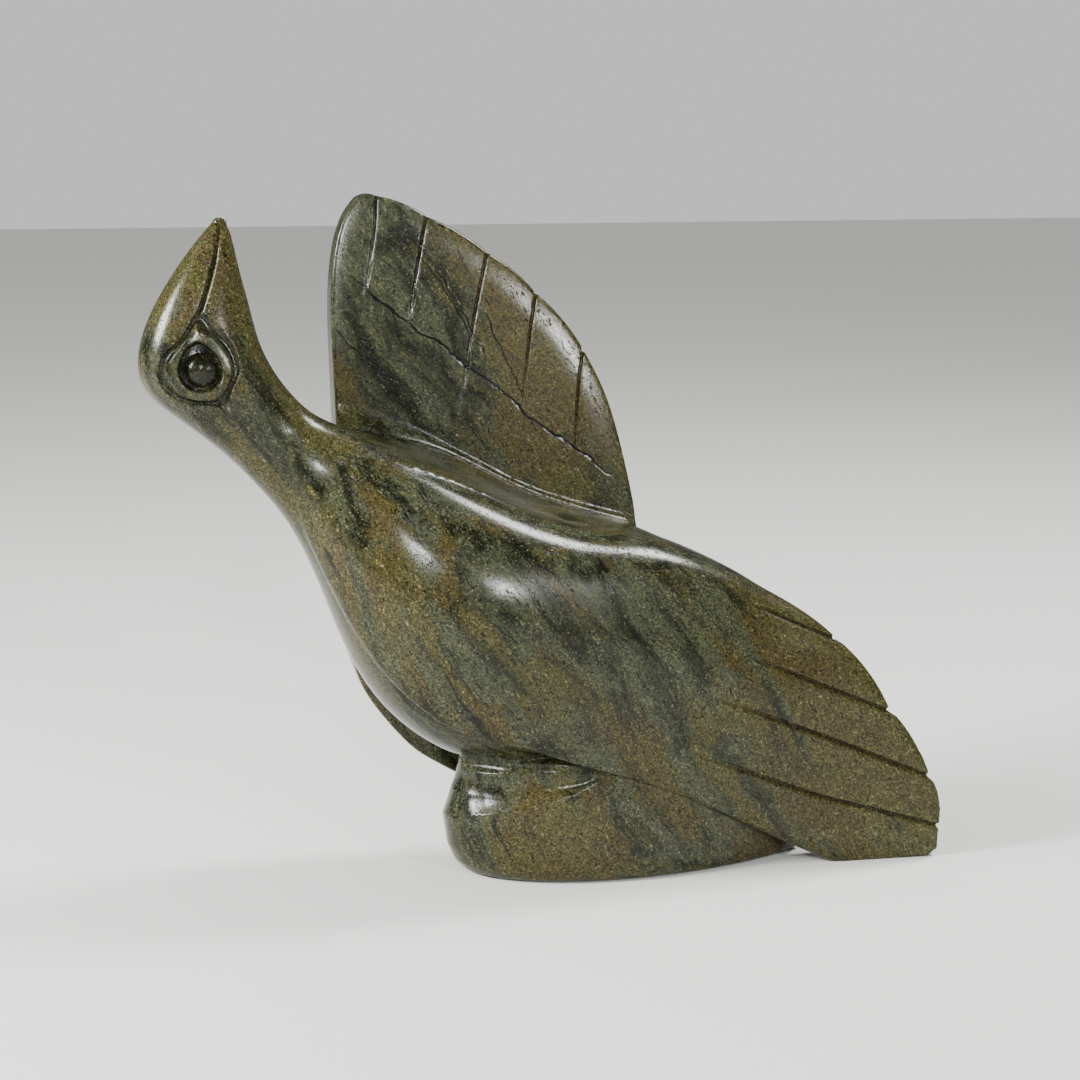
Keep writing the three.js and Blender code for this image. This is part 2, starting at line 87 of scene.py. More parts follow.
# Folded wing: a layer a little proud of the flank, which runs out as the tail blade.
LAYER = 2.6
LAYER_START = 8.3
LAYER_FULL = 10.2
SKIRT_START = 11.0
SKIRT_FULL = 13.5
BLADE_START = 15.5
BLADE_FULL = 18.5
BLADE_SPREAD = 14.0
BLADE_HALF = 8.5
BLADE_MID = -18.0
BLADE_SQUARE = 4.5
BLADE_INNER_Y = -9.0
LEADING_EDGE = [
    (118, 9), (87, 25), (46, 45), (4, 61), (-21, 71), (-51, 81), (-68, 90),
    (-85, 105), (-103, 131), (-118, 163), (-125, 182), (-129, 205),
]
BLADE_TOP = (98, 145)
FEATHER_TIPS = [(139.5, 113), (166, 77), (187.5, 42), (193, 17)]
FEATHER_BULGE = 2.6
BLADE_CORNER = [(192.5, 4), (187, 0), (137, 0)]

# Raised wing: a leaf of stone that grows out of the far flank and leans away.
FAR_LOW_EDGE = [(-42, 40), (-57, 49), (-69, 59), (-85, 79), (-94, 99), (-99, 128), (-101, 165), (-101, 205)]
FAR_FRONT_EDGE = [(-101.5, 240), (-102, 272), (-100, 299), (-95, 317.5), (-88, 328)]
FAR_TIPS = [(-77, 329), (-52, 318.5), (-23, 301), (1, 281), (24, 254)]
FAR_TIP_BULGE = 1.6
FAR_REAR_EDGE = [(36, 229), (44, 200), (49, 175), (50, 158)]
FAR_FLANK_EDGE = [(48, 128), (34, 92), (8, 62), (-22, 44)]
FAR_OUTER_Y = 53.0
FAR_LEAN = 0.06
FAR_LEAN_FROM = 180.0
FAR_RIM_THICK = 12.0
FAR_ROOT_THICK = 24.0
FAR_ROOT_FADE = 150.0
FAR_FOOT_Y = 42.0
FAR_FOOT_Z = 40.0
FAR_FOOT_FROM = 110.0
FAR_ROOT_LINE = ((-50.4, 206.0), (49.0, 166.0))

# Ledge along the root of the raised wing: a ramp up to the crease where the wing starts, and the
# lip that its rear end stands out with: x, y, z, half width across, half height.
LEDGE_CREASE = [
    (-104, 220.5), (-82, 215.2), (-50.4, 206), (-14.5, 188), (11, 177.7), (30, 171.6), (49, 166),
    (61.5, 162),
]
LEDGE_CREASE_Y = 29.0
LEDGE_TILT = math.radians(16)
LEDGE_FALL = 0.42
LEDGE_FROM_X = -94.0
LEDGE_TO_X = 49.0
LEDGE_FROM_Y = -14.0
LEDGE_TO_Y = 46.0
LEDGE_THICK = 24.0
LEDGE_BLEND = 9.0
LIP = np.array([
    (-12, 8, 178, 8, 3),
    (8, 10, 170.8, 12, 4.6),
    (28, 12, 164.6, 15, 5.4),
    (42, 14, 160.8, 15, 5.4),
    (49.5, 19, 160.0, 9, 3.6),
])
LIP_NOSE_ROUND = 4.0

# Base: boat-shaped in plan, hollowed on both sides under its rim: z, front x, inset.
BASE_LEVELS = np.array([
    (0, -41, 6), (1.8, -45.5, 2.6), (6, -49.5, 0.8), (14, -53, 0), (28, -55, 0), (42, -53, 1),
    (52, -49.5, 2), (59, -46, 4), (66, -38, 13),
])
BASE_REAR = 131.0
BASE_HALF = 40.0
BASE_BLUNT = 0.5
BASE_TAPER = 0.8
CREST = [
    (-58, 57.4), (-46, 57.2), (-38, 55.4), (-26, 55.8), (-10, 56.3), (5, 55.2), (18.4, 53.4), (30, 51.0),
]
SHIN = [
    (-58, 29.0), (-50, 30.5), (-45.8, 32.4), (-41, 33.9), (-23.5, 37.9), (-14.7, 40.6), (-6.2, 42.8),
    (4.5, 46.2), (11, 49.5), (18, 52.9), (30, 53.0),
]
HOLLOW_DEPTH = [(-58, 1.2), (-48, 2.6), (-38, 4.6), (-22, 4.2), (0, 2.6), (12, 1.4), (18, 0)]
FLUTE_ROUTE = [
    (-52.6, -2, 58.3), (-50.4, -8, 58), (-39.8, -20.5, 58.4), (-27, -30.7, 58.7), (-10.2, -37.4, 58.4),
    (5, -40.9, 56.8), (18.4, -43.8, 55),
]
FLUTE_RADIUS = 5.5

# Feather grooves, from the start that fades out to the rim.
FOLDED_GROOVES = [
    [(84, 137), (108, 127), (141, 111.5)],
    [(72, 117), (98, 106), (134, 90), (169, 75)],
    [(64, 94), (98, 80), (145, 60), (192, 40)],
    [(48, 68), (78, 57), (120, 39), (157, 27), (198, 14.5)],
]
RAISED_GROOVES = [
    [(-86, 278), (-80, 311), (-78, 334)],
    [(-64, 264), (-58, 299), (-52, 324)],
    [(-39, 226), (-31, 270), (-22, 306)],
    [(-9, 210), (-4, 254), (2, 286)],
    [(19, 186), (20.5, 228), (26, 260)],
]
GROOVE_DEPTH = 1.7
FOLDED_WALLS = (0.8, 2.4)
RAISED_WALLS = (1.0, 1.5)

# Mouth and eye, on both sides of the head. The eye's outlines are about its middle, x and z.
HEAD_TO_X = -140.0
HEAD_FROM_Z = 225.0
MOUTH = [(-157.6, 330), (-160.0, 314), (-163.6, 299.5), (-168.4, 285), (-172.4, 276), (-177, 268)]
MOUTH_DEPTH = 2.5
MOUTH_WALLS = (0.9, 2.7)
EYE = (-170.0, 253.0)
EYE_SOCKET = [
    (-2.3, 13.5), (-7.5, 9.8), (-10.3, 4.6), (-11.4, -0.5), (-10, -5.1), (-6.3, -9.4), (-0.6, -10.9),
    (5.2, -9.7), (9.2, -5.7), (10.4, -0.5), (9.2, 4.6), (5.7, 9.2), (1.7, 12.6),
]
SOCKET_DEPTH = 4.0
EYE_LID = [
    (-1.7, 20.6), (-7.5, 12.6), (-12, 6.9), (-14.7, 2.3), (-14.9, -2.2), (-12.9, -7.9), (-8, -12.2),
    (-1.7, -13.9), (5.2, -13.4), (10.3, -9.1), (12.9, -3.4), (12.9, 1.8), (11.2, 6.3), (7.5, 10.6),
    (2.9, 13.8), (-0.3, 16.3),
]
BROW = [
    (-3.6, 24.2), (-8.6, 15.8), (-14.4, 10.4), (-18.4, 5.8), (-20.1, 1.2), (-20.1, -3.4), (-18.4, -8.5),
    (-14.9, -12.3), (-10.3, -14.9), (-2.9, -16.6), (4, -17.2), (8, -18.6), (11.8, -22.3), (12.3, -18.0),
    (12.9, -13.1), (14.9, -8), (17.6, -2.8), (18.2, 1.2), (16.7, 7.5), (14.4, 12.7), (10.9, 17.3),
    (7.5, 20.7), (3.6, 24.8), (0, 26.6),
]
CHANNEL_DEPTH = 2.7
BROW_RISE = 0.6
EYE_BALL_AT = (0.8, -0.9)
EYE_BALL = 8.6
EYE_BALL_SHOWS = 6.5
EYE_BALL_SUNK = 0.4


def smoothstep(value, start, end):
    share = np.clip((value - start) / (end - start), 0.0, 1.0)
    return share * share * (3.0 - 2.0 * share)


def mix(a, b, share):
    return a + (b - a) * share


def smooth_min(a, b, radius):
    """Union of two fields with a fillet of about that radius."""
    h = np.maximum(radius - np.abs(a - b), 0.0) / radius
    return np.minimum(a, b) - h * h * radius * 0.25


def smooth_max(a, b, radius):
    return -smooth_min(-a, -b, radius)


class Spline:
    """Natural cubic spline through rows of numbers, at whole-number stations."""

    def __init__(self, rows):
        self.rows = np.array(rows, float)
        count = len(self.rows)
        system = np.eye(count)
        pull = np.zeros_like(self.rows)
        for i in range(1, count - 1):
            system[i, i - 1:i + 2] = (1, 4, 1)
            pull[i] = 6 * (self.rows[i - 1] - 2 * self.rows[i] + self.rows[i + 1])
        self.bend = np.linalg.solve(system, pull)

    def parts(self, station):
        index = np.clip(station.astype(int), 0, len(self.rows) - 2)
        after = (station - index)[..., None]
        return index, 1 - after, after

    def at(self, station):
        i, a, b = self.parts(station)
        curve = (a ** 3 - a) * self.bend[i] + (b ** 3 - b) * self.bend[i + 1]
        return a * self.rows[i] + b * self.rows[i + 1] + curve / 6

    def slope(self, station):
        i, a, b = self.parts(station)
        curve = (1 - 3 * a * a) * self.bend[i] + (3 * b * b - 1) * self.bend[i + 1]
        return self.rows[i + 1] - self.rows[i] + curve / 6


def curve_points(points, steps):
    """Points along a smooth curve through a few given ones."""
    spline = Spline(points)
    return spline.at(np.linspace(0, len(points) - 1, steps))


def arc(start, end, bulge, steps=8):
    """Shallow curve from start to end that stands out to the left by bulge."""
    start, end = np.array(start, float), np.array(end, float)
    share = np.linspace(0, 1, steps + 1)[1:, None]
    along = end - start
    out = np.array([-along[1], along[0]]) / np.hypot(*along)
    return start + along * share + out * bulge * 4 * share * (1 - share)


class Plan:
    """Signed distance to a closed outline in the XZ plane, held in a table."""

    def __init__(self, outline, low, high, pitch):
        self.low, self.pitch = np.array(low, float), pitch
        xs = np.arange(low[0], high[0] + pitch, pitch)
        zs = np.arange(low[1], high[1] + pitch, pitch)
        px, pz = np.meshgrid(xs, zs, indexing="ij")
        nearest = np.full(px.shape, 1e9)
        inside = np.zeros(px.shape, bool)
        outline = np.array(outline, float)
        for a, b in zip(outline, np.roll(outline, -1, 0)):
            ex, ez = b - a
            share = np.clip(((px - a[0]) * ex + (pz - a[1]) * ez) / (ex * ex + ez * ez + 1e-12), 0, 1)
            nearest = np.minimum(nearest, (px - a[0] - ex * share) ** 2 + (pz - a[1] - ez * share) ** 2)
            if a[1] != b[1]:
                crosses = (a[1] > pz) != (b[1] > pz)
                inside ^= crosses & (px < a[0] + (pz - a[1]) * ex / ez)
        self.table = np.where(inside, -1, 1) * np.sqrt(nearest)

    def at(self, x, z):
        gx = np.clip((x - self.low[0]) / self.pitch, 0, self.table.shape[0] - 1.001)
        gz = np.clip((z - self.low[1]) / self.pitch, 0, self.table.shape[1] - 1.001)
        i, k = gx.astype(int), gz.astype(int)
        fx, fz = gx - i, gz - k
        table = self.table
        near = table[i, k] * (1 - fx) + table[i + 1, k] * fx
        far = table[i, k + 1] * (1 - fx) + table[i + 1, k + 1] * fx
        return near * (1 - fz) + far * fz


def distance_to_line(x, z, points):
    """Signed distance to an open line, positive on its left, and the share of the way along it."""
    best = np.full(x.shape, 1e9)
    signed = np.zeros(x.shape)
    along = np.zeros(x.shape)
    for k in range(len(points) - 1):
        a, b = points[k], points[k + 1]
        ex, ez = b - a
        share = np.clip(((x - a[0]) * ex + (z - a[1]) * ez) / (ex * ex + ez * ez), 0, 1)
        dx, dz = x - a[0] - ex * share, z - a[1] - ez * share
        d = dx * dx + dz * dz
        closer = d < best
        best = np.where(closer, d, best)
        signed = np.where(closer, np.sign(ex * dz - ez * dx) * np.sqrt(d), signed)
        along = np.where(closer, (k + share) / (len(points) - 1), along)
    return signed, along


keel = Spline(STATIONS[:, 0:2])
ridge = Spline(STATIONS[:, 2:4])
girth = Spline(STATIONS[:, 4:7])

MAP_PITCH = 4.0
MAP_LOW = np.array((-212.0, -12.0))
MAP_HIGH = np.array((212.0, 348.0))
MAP_SAMPLES = 420


def station_map():
    """Table of the nearest slanted section for points of the XZ plane."""
    xs = np.arange(MAP_LOW[0], MAP_HIGH[0] + MAP_PITCH, MAP_PITCH)
    zs = np.arange(MAP_LOW[1], MAP_HIGH[1] + MAP_PITCH, MAP_PITCH)
    px, pz = np.meshgrid(xs, zs, indexing="ij")
    best = np.full(px.shape, 1e18)
    found = np.zeros(px.shape)
    for station in np.linspace(0, LAST_STATION, MAP_SAMPLES):
        low, high = keel.at(np.array(station)), ridge.at(np.array(station))
        half = np.hypot(*(high - low)) / 2
        up = (high - low) / (2 * half)
        dx, dz = px - (low[0] + high[0]) / 2, pz - (low[1] + high[1]) / 2
        beside = dx * up[1] - dz * up[0]
        over = np.maximum(np.abs(dx * up[0] + dz * up[1]) - 1.3 * half, 0)
        d = beside ** 2 + over ** 2
        found = np.where(d < best, station, found)
        best = np.minimum(best, d)
    return found


stations_near = station_map()


def section_at(x, z):
    """Station of the section through each point, with its height, reach, widths and overshoot."""
    i = np.clip(np.rint((x - MAP_LOW[0]) / MAP_PITCH).astype(int), 0, stations_near.shape[0] - 1)
    k = np.clip(np.rint((z - MAP_LOW[1]) / MAP_PITCH).astype(int), 0, stations_near.shape[1] - 1)
    t = stations_near[i, k]
    point = np.stack([x, z], -1)
    for _ in range(5):
        low, span = keel.at(t), ridge.at(t) - keel.at(t)
        low_slope = keel.slope(t)
        span_slope = ridge.slope(t) - low_slope
        d = point - low
        miss = d[..., 0] * span[..., 1] - d[..., 1] * span[..., 0]
        turn = (d[..., 0] * span_slope[..., 1] - low_slope[..., 0] * span[..., 1]
                - d[..., 1] * span_slope[..., 0] + low_slope[..., 1] * span[..., 0])
        step = miss / np.where(np.abs(turn) < 1.0, np.sign(turn) + (turn == 0), turn)
        t = np.clip(t - np.clip(step, -0.4, 0.4), 0, LAST_STATION)
    low, high = keel.at(t), ridge.at(t)
    reach = np.hypot(high[..., 0] - low[..., 0], high[..., 1] - low[..., 1]) / 2
    up = (high - low) / (2 * reach[..., None])
    d = point - (low + high) / 2
    height = d[..., 0] * up[..., 0] + d[..., 1] * up[..., 1]
    past_end = (t <= 0) | (t >= LAST_STATION)
    over = past_end * np.abs(d[..., 0] * up[..., 1] - d[..., 1] * up[..., 0])
    half, mid, square = np.moveaxis(girth.at(t), -1, 0)
    return t, height, reach, over, half, mid, square


def egg(height, across, reach, half, top_square, low_square):
    """Distance to a rounded section whose squareness grows from the flank to the top and the belly."""
    share = np.clip(np.abs(height) / reach, 0, 1)
    edge = np.where(height > 0, top_square, low_square)
    power = mix(FLANK_SQUARE, edge, smoothstep(share, 0.0, 0.9))
    a, b = np.abs(height) / reach + 1e-9, np.abs(across) / half + 1e-9
    norm = (a ** power + b ** power) ** (1 / power)
    rise = (a / norm) ** (power - 1) / reach
    side = (b / norm) ** (power - 1) / half
    return (norm - 1) / np.sqrt(rise * rise + side * side)


def trunk_field(section, y):
    t, height, reach, over, half, mid, square = section
    field = egg(height, y - mid, reach, half, square, BELLY_SQUARE)
    end_round = np.where(t < 1, BEAK_TIP_ROUND, TAIL_END_ROUND)
    inner = np.minimum(reach, half)
    beyond = np.hypot(np.maximum(field + inner, 0), over * inner / end_round) - inner
    return np.where(over > 1e-3, beyond, field)


def folded_outline():
    points = [(-128, 240), (60, 200), BLADE_TOP]
    start = BLADE_TOP
    for tip in FEATHER_TIPS:
        points.extend(arc(start, tip, FEATHER_BULGE))
        start = tip
    points.extend(BLADE_CORNER)
    points.extend(curve_points(LEADING_EDGE, 70))
    return points


def raised_outline():
    front = [*FAR_LOW_EDGE, *FAR_FRONT_EDGE]
    points = list(curve_points(front, 90))
    start = front[-1]
    for tip in FAR_TIPS:
        points.extend(arc(start, tip, FAR_TIP_BULGE))
        start = tip
    rear = [FAR_TIPS[-1], *FAR_REAR_EDGE, *FAR_FLANK_EDGE]
    points.extend(curve_points(rear, 60)[1:])
    return points


OUTLINE_PITCH = 0.7
folded_plan = Plan(folded_outline(), MAP_LOW, MAP_HIGH, OUTLINE_PITCH)
raised_plan = Plan(raised_outline(), MAP_LOW, MAP_HIGH, OUTLINE_PITCH)


def folded_wing_field(section, x, y, z):
    t, height, reach, over, half, mid, square = section
    shown = smoothstep(t, LAYER_START, LAYER_FULL)
    skirt = smoothstep(t, SKIRT_START, SKIRT_FULL)
    blade = smoothstep(t, BLADE_START, BLADE_FULL)
    tail = smoothstep(t, BLADE_FULL - 1, BLADE_FULL + 1)
    drop, rise = skirt * BLADE_SPREAD, blade * BLADE_SPREAD
    tall = reach + (rise + drop) / 2
    level = height - (rise - drop) / 2
    out = mix(mix(LAYER * shown, -0.4, smoothstep(level / tall, 0.25, 0.8)), LAYER, blade)
    field = egg(level, y - mix(mid, BLADE_MID, tail), tall + out, mix(half, BLADE_HALF, tail) + out,
                mix(square, BLADE_SQUARE, blade), mix(BELLY_SQUARE, BLADE_SQUARE, skirt))
    rim = folded_plan.at(x, z)
    bevel = mix(1.1, 5.0, smoothstep(x, -30, 70) * (1 - smoothstep(x, 110, 150)))
    field = smooth_max(field, rim, bevel)
    return smooth_max(field, y - BLADE_INNER_Y, 2.0)


def raised_wing_faces(x, z):
    (x0, z0), (x1, z1) = FAR_ROOT_LINE
    length = math.hypot(x1 - x0, z1 - z0)
    away = ((x - x0) * (z0 - z1) + (z - z0) * (x1 - x0)) / length
    lean = smooth_max(FAR_LEAN * (z - FAR_LEAN_FROM), 0.0 * z, 4.0)
    foot = smoothstep(FAR_FOOT_FROM - z, 0, FAR_FOOT_FROM - FAR_FOOT_Z)
    outer = mix(FAR_OUTER_Y + lean, FAR_FOOT_Y, foot)
    root = 1 - np.clip(away / FAR_ROOT_FADE, 0, 1)
    thick = mix(FAR_RIM_THICK, FAR_ROOT_THICK, root * (1 - foot))
    return outer - thick, outer


def raised_wing_field(x, y, z):
    inner, outer = raised_wing_faces(x, z)
    rim = raised_plan.at(x, z)
    edge = np.clip(1 + rim / 14.0, 0, 1)
    inner = inner + 1.2 * edge * edge
    outer = outer - 2.0 * edge * edge
    slab = np.abs(y - (inner + outer) / 2) - (outer - inner) / 2
    return smooth_max(slab, rim, 1.8)


crease_line = np.array(curve_points(LEDGE_CREASE, 60))
lip_line = Spline(LIP)


def ledge_field(x, y, z):
    crease = np.interp(x, crease_line[:, 0], crease_line[:, 1])
    steep = math.sqrt(1 + math.tan(LEDGE_TILT) ** 2 + LEDGE_FALL ** 2)
    ramp = (z - crease - (y - LEDGE_CREASE_Y) * math.tan(LEDGE_TILT)) / steep
    field = smooth_max(ramp, x - LEDGE_TO_X, 7.0)
    for edge in (LEDGE_FROM_X - x, LEDGE_FROM_Y - y, y - LEDGE_TO_Y, -ramp - LEDGE_THICK):
        field = np.maximum(field, edge)
    return field


def lip_field(x, y, z):
    knots = LIP[:, 0]
    row = lip_line.at(np.interp(x, knots, np.arange(len(knots))))
    end = np.maximum(x - knots[-1], 0) + np.maximum(knots[0] - x, 0)
    wide, tall = row[..., 3], row[..., 4]
    norm = np.hypot((y - row[..., 1]) / wide, (z - row[..., 2]) / tall)
    norm = np.hypot(norm, end / LIP_NOSE_ROUND)
    return (norm - 1) * tall


crest_line = np.array(curve_points(CREST, 60))
shin_line = np.array(curve_points(SHIN, 80))


def base_field(x, y, z):
    front = np.interp(z, BASE_LEVELS[:, 0], BASE_LEVELS[:, 1])
    inset = np.interp(z, BASE_LEVELS[:, 0], BASE_LEVELS[:, 2])
    length = BASE_REAR - inset - front
    share = (x - front) / length
    widest = BASE_BLUNT / (BASE_BLUNT + BASE_TAPER)
    peak = widest ** BASE_BLUNT * (1 - widest) ** BASE_TAPER
    rest = 1 - share
    taper = np.sign(rest) * np.abs(rest) ** (2 * BASE_TAPER)
    plan = share * taper / peak ** 2
    plan_slope = (np.abs(taper) - share * 2 * BASE_TAPER * np.abs(rest) ** (2 * BASE_TAPER - 1)) / peak ** 2
    half = BASE_HALF - inset
    value = (y / half) ** 2 - plan
    steep = np.hypot(2 * y / half ** 2, plan_slope / length)
    side = value / np.maximum(steep, 0.02)
    crest = np.interp(x, crest_line[:, 0], crest_line[:, 1])
    shin = np.interp(x, shin_line[:, 0], shin_line[:, 1])
    climb = np.clip((z - shin) / np.maximum(crest - shin, 2.0), 0, 1)
    deep = np.interp(x, *np.transpose(HOLLOW_DEPTH))
    side = side + deep * 4 * climb * (1 - climb)
    return smooth_max(smooth_max(side, z - 66, 3.0), -z, 0.8)


flute_points = curve_points(FLUTE_ROUTE, 24)


def flute_field(x, y, z):
    best = np.full(x.shape, 1e9)
    for a, b in zip(flute_points[:-1], flute_points[1:]):
        e = b - a
        share = ((x - a[0]) * e[0] + (y - a[1]) * e[1] + (z - a[2]) * e[2]) / (e @ e)
        share = np.clip(share, 0, 1)
        d = (x - a[0] - e[0] * share) ** 2 + (y - a[1] - e[1] * share) ** 2 + (z - a[2] - e[2] * share) ** 2
        best = np.minimum(best, d)
    return np.sqrt(best) - FLUTE_RADIUS


def wedge(distance, steep, gentle):
    """Cross-section of a groove with one steep wall and one gentle one, 1 at its bottom."""
    width = np.where(distance > 0, steep, gentle)
    share = np.clip(1 - np.abs(distance) / width, 0, 1)
    return share * share * (3 - 2 * share) * 0.5 + share * 0.5


folded_lines = [curve_points(g, 14) for g in FOLDED_GROOVES]
raised_lines = [curve_points(g, 12) for g in RAISED_GROOVES]
mouth_line = curve_points(MOUTH, 20)
socket_plan = Plan(curve_points([*EYE_SOCKET, EYE_SOCKET[0]], 90), (-40, -40), (40, 40), 0.25)
lid_plan = Plan(curve_points([*EYE_LID, EYE_LID[0]], 100), (-40, -40), (40, 40), 0.25)
brow_plan = Plan(curve_points([*BROW, BROW[0]], 120), (-40, -40), (40, 40), 0.25)


def groove_depth(x, y, z):
    """How deep the feather grooves cut at each point."""
    cut = np.zeros(x.shape)
    wings = ((folded_lines, y < BLADE_INNER_Y, FOLDED_WALLS), (raised_lines, y > 5, RAISED_WALLS))
    for lines, side, walls in wings:
        for line in lines:
            low, high = line.min(0) - 5, line.max(0) + 5
            near = side & (x > low[0]) & (x < high[0]) & (z > low[1]) & (z < high[1])
            if not near.any():
                continue
            distance, along = distance_to_line(x[near], z[near], line)
            reach = 1.0
            if lines is raised_lines:
                inner, outer = raised_wing_faces(x[near], z[near])
                reach = 1 - smoothstep(y[near], (inner + outer) / 2 - 1, (inner + outer) / 2 + 1)
            depth = GROOVE_DEPTH * smoothstep(along, -0.03, 0.55) * reach
            cut[near] = np.maximum(cut[near], depth * wedge(distance, *walls))
    return cut


def head_carving(x, y, z):
    """How deep the mouth, the channel round the lid and the eye's socket are carved at each point."""
    cut = np.zeros(x.shape)
    near = (x > -200) & (x < HEAD_TO_X) & (z > 220) & (z < 331)
    if not near.any():
        return cut
    nx, ny, nz = x[near], np.abs(y[near]), z[near]
    distance, along = distance_to_line(nx, nz, mouth_line)
    thick = np.interp(nz, (300, 322), (MOUTH_DEPTH, 1.0))
    fade = 1 - smoothstep(along, 0.86, 1.0)
    mouth = thick * wedge(-distance, *MOUTH_WALLS) * fade
    mouth = mouth * smoothstep(ny, 0.2, 1.6)
    ex, ez = nx - EYE[0], nz - EYE[1]
    socket, lid, brow = socket_plan.at(ex, ez), lid_plan.at(ex, ez), brow_plan.at(ex, ez)
    across = np.clip(lid / np.maximum(lid - brow, 0.5), 0, 1) * (brow < 0)
    channel = CHANNEL_DEPTH * np.sin(math.pi * across) ** 0.8
    proud = BROW_RISE * np.exp(-(np.maximum(brow, 0) / 2.2) ** 2) * (lid > 0) * smoothstep(ez, 24, 12)
    hole = (SOCKET_DEPTH + smoothstep(ez, -4, 9)) * smoothstep(-socket, -0.1, 1.9)
    side = smoothstep(ny, 2.0, 7.0)
    carved = np.maximum(channel, hole) - proud
    cut[near] = np.maximum(mouth, carved * side)
    return cut


def eye_ball_field(x, y, z, cheek):
    ex, ez = (x - EYE[0] - EYE_BALL_AT[0]) / EYE_BALL, (z - EYE[1] - EYE_BALL_AT[1]) / EYE_BALL
    ey = (np.abs(y) - cheek + EYE_BALL_SUNK + EYE_BALL_SHOWS) / EYE_BALL_SHOWS
    norm = np.sqrt(ex * ex + ey * ey + ez * ez) + 1e-6
    slope = np.sqrt((ex * ex + ez * ez) / EYE_BALL ** 2 + ey * ey / EYE_BALL_SHOWS ** 2 + 1e-9)
    return (norm - 1) * norm / slope


cheek_section = section_at(np.array([EYE[0]]), np.array([EYE[1]]))
CHEEK_Y = float(cheek_section[4][0]) - 0.6

# Fillets where the forms meet. The one at the raised wing's root is wide in front and tight behind.
LIP_FILLET = 2.5
BASE_FILLET = 1.4
FLUTE_FILLET = 1.0
FOLDED_FILLET = 0.9
ROOT_FILLETS = (9.0, 3.2)
FAR_FILLET = 2.5
EYE_FILLET = 0.4


def stone_field(points):
    """Distance in millimetres from each point to the bird's surface, negative inside."""
    x, y, z = points[:, 0], points[:, 1], points[:, 2]
    section = section_at(x, z)
    body = trunk_field(section, y)
    body = smooth_min(body, ledge_field(x, y, z), LEDGE_BLEND)
    body = smooth_min(body, lip_field(x, y, z), LIP_FILLET)
    body = smooth_min(body, base_field(x, y, z), BASE_FILLET)
    body = smooth_max(body, -flute_field(x, y, z), FLUTE_FILLET)
    body = smooth_min(body, folded_wing_field(section, x, y, z), FOLDED_FILLET)
    root_fillet = mix(*ROOT_FILLETS, smoothstep(x, -85, -35))
    root_fillet = np.where(y > 35, FAR_FILLET, root_fillet)
    body = smooth_min(body, raised_wing_field(x, y, z), root_fillet)
    carved = body + groove_depth(x, y, z) + head_carving(x, y, z)
    return smooth_min(carved, eye_ball_field(x, y, z, CHEEK_Y), EYE_FILLET)


GRID_LOW = np.array((-204.0, -60.0, -4.5))
GRID_HIGH = np.array((202.0, 68.0, 336.0))
GRID_PITCH = 2.5
COARSE = 4
BAND = 17.0
FAR_OFF = 50.0
GRADIENT_STEP = 0.12

# Edge lengths of the mesh: on open stone, along the rims and carved lines, and low on the base.
OPEN_EDGE = 3.6
FOLDED_RIM_EDGE = 1.5
RAISED_RIM_EDGE = 1.6
GROOVE_EDGE = 0.95
FACE_EDGE = 0.9
CREASE_EDGE = 1.1
HOLLOW_EDGE = 1.5
FOOT_EDGE = 1.8
LONGEST_SHARE = 1.35


def sample_band():
    """Field on a fine grid, worked out only in the blocks that the surface may pass."""
    cells = np.ceil((GRID_HIGH - GRID_LOW) / (GRID_PITCH * COARSE)).astype(int)
    shape = cells * COARSE + 1
    middles = np.stack(np.meshgrid(*[np.arange(c) for c in cells], indexing="ij"), -1).reshape(-1, 3)
    at = GRID_LOW + (middles + 0.5) * GRID_PITCH * COARSE
    field = stone_field(at)
    values = np.where(field < 0, -FAR_OFF, FAR_OFF).reshape(cells)
    grid = np.full(shape, FAR_OFF)
    for axis_offset in np.ndindex(COARSE + 1, COARSE + 1, COARSE + 1):
        view = tuple(slice(o, o + cells[i] * COARSE, COARSE) for i, o in enumerate(axis_offset))
        grid[view] = values
    near = middles[np.abs(field) < BAND]
    offsets = np.stack(np.meshgrid(*[np.arange(COARSE + 1)] * 3, indexing="ij"), -1).reshape(-1, 3)
    index = (near[:, None] * COARSE + offsets).reshape(-1, 3)
    flat = np.unique(np.ravel_multi_index(index.T, shape))
    where = np.stack(np.unravel_index(flat, shape), -1)
    grid.reshape(-1)[flat] = stone_field(GRID_LOW + where * GRID_PITCH)
    return grid


